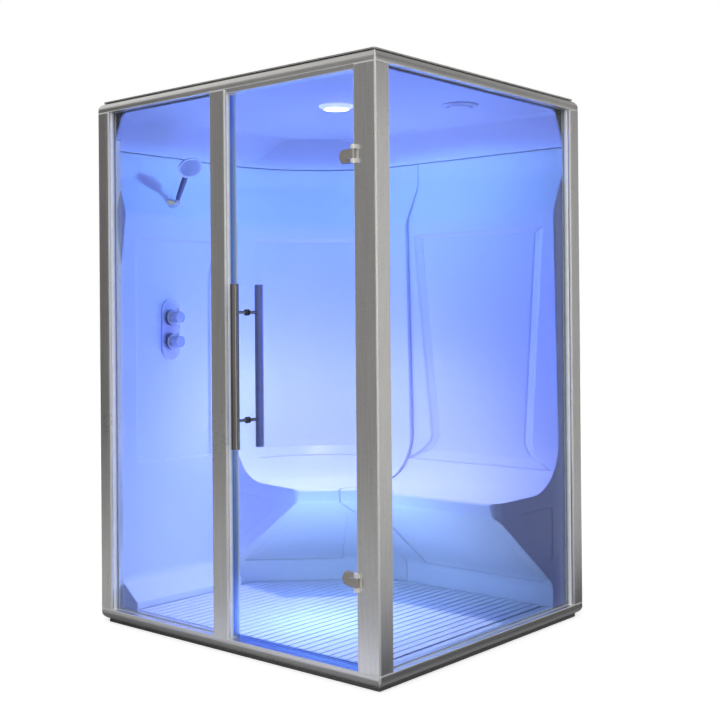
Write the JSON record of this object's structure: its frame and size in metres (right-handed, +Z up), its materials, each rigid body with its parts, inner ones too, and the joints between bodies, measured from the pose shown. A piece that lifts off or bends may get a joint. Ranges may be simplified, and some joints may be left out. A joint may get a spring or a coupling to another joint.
{
  "type": "steam shower cabin",
  "caption": "Steam shower cabin with a metal frame, glass door and side pane, moulded corner seat and bench, slatted floor.",
  "frame": {"origin": "bottom centre of the whole object's bounding box, on the floor", "axes": "+Z up, the door faces -Y, the glass side faces +X"},
  "size_m": [1.5, 1.366, 2.15],
  "materials": {
    "frame_metal": "brushed, natural silver",
    "polished_metal": "polished",
    "black_plinth": "matt black",
    "grey_sheet": "light grey, satin",
    "clear_glass": "clear toughened",
    "dark_rubber": "matt",
    "clear_seal": "translucent soft plastic",
    "dark_plastic": "matt",
    "white_moulding": "white sanitary acrylic, gloss",
    "lamp_lens": "opal, lit from behind",
    "brass_casting": "raw casting",
    "spray_face": "grey soft nozzles"
  },
  "bodies": {
    "frame": {"front_sill": "frame_metal", "right_sill": "frame_metal", "rear_sill": "frame_metal", "left_sill": "frame_metal", "front_top_rail": "frame_metal", "right_top_rail": "frame_metal", "rear_top_rail": "frame_metal", "left_top_rail": "frame_metal", "base_plinth": "black_plinth", "front_left_post": "frame_metal", "mullion": "frame_metal", "front_right_post": "frame_metal", "rear_right_post": "frame_metal", "rear_left_post": "frame_metal", "roof_cap": "black_plinth", "rear_cladding": "grey_sheet", "left_cladding": "grey_sheet", "front_fixed_glass": "clear_glass", "side_glass": "clear_glass", "front_glass_gasket": "dark_rubber", "side_glass_gasket": "dark_rubber", "door_header": "frame_metal", "lower_hinge_bracket": "polished_metal", "upper_hinge_bracket": "polished_metal", "hinge_pins": "polished_metal", "right_seat_module": "white_moulding", "left_wall_panel": "white_moulding", "corner_seat_module": "white_moulding", "ceiling_module": "white_moulding", "lamp_bezel": "white_moulding", "lamp_lens": "lamp_lens", "lamp_housing": "grey_sheet", "vent_ring": "white_moulding", "shower_tray": "white_moulding", "duckboard": "white_moulding", "drain_body": "polished_metal", "drain_grate": "polished_metal", "levelling_feet": "dark_plastic", "mixer_plate": "polished_metal", "mixer_body": "brass_casting", "shower_wall_elbow": "polished_metal", "steam_nozzle": "polished_metal"},
    "door": {"door_glass": "clear_glass", "door_strike_seal": "clear_seal", "door_bottom_sweep": "clear_seal", "lower_hinge_clamp": "polished_metal", "upper_hinge_clamp": "polished_metal", "hinge_inner_plates": "polished_metal", "hinge_pads": "dark_rubber", "hinge_screws": "polished_metal", "handle_outer_bar": "polished_metal", "handle_inner_bar": "polished_metal", "handle_studs": "polished_metal", "handle_bushings": "dark_plastic"},
    "upper_knob": {"upper_knob": "polished_metal"},
    "lower_knob": {"lower_knob": "polished_metal"},
    "shower": {"shower_head": "polished_metal", "spray_face": "spray_face"},
    "vent_valve": {"vent_disc": "white_moulding"}
  },
  "joints": [
    {"name": "door_hinge", "type": "hinge", "parent": "frame", "child": "door", "pos_m": [0.659, -0.6475, 1.078], "axis": [0, 0, 1], "range_deg": [0, 100]},
    {"name": "upper_knob_turn", "type": "hinge", "parent": "frame", "child": "upper_knob", "pos_m": [-0.67, -0.301, 1.257], "axis": [1, 0, 0], "range_deg": [-90, 90]},
    {"name": "lower_knob_turn", "type": "hinge", "parent": "frame", "child": "lower_knob", "pos_m": [-0.67, -0.301, 1.153], "axis": [1, 0, 0], "range_deg": [-90, 90]},
    {"name": "shower_tilt", "type": "hinge", "parent": "frame", "child": "shower", "pos_m": [-0.64, -0.31, 1.75], "axis": [0.2756, 0.9613, 0], "range_deg": [-12, 25]},
    {"name": "vent_slide", "type": "slide", "parent": "frame", "child": "vent_valve", "axis": [0, 0, -1], "range_m": [0, 0.0096]}
  ]
}
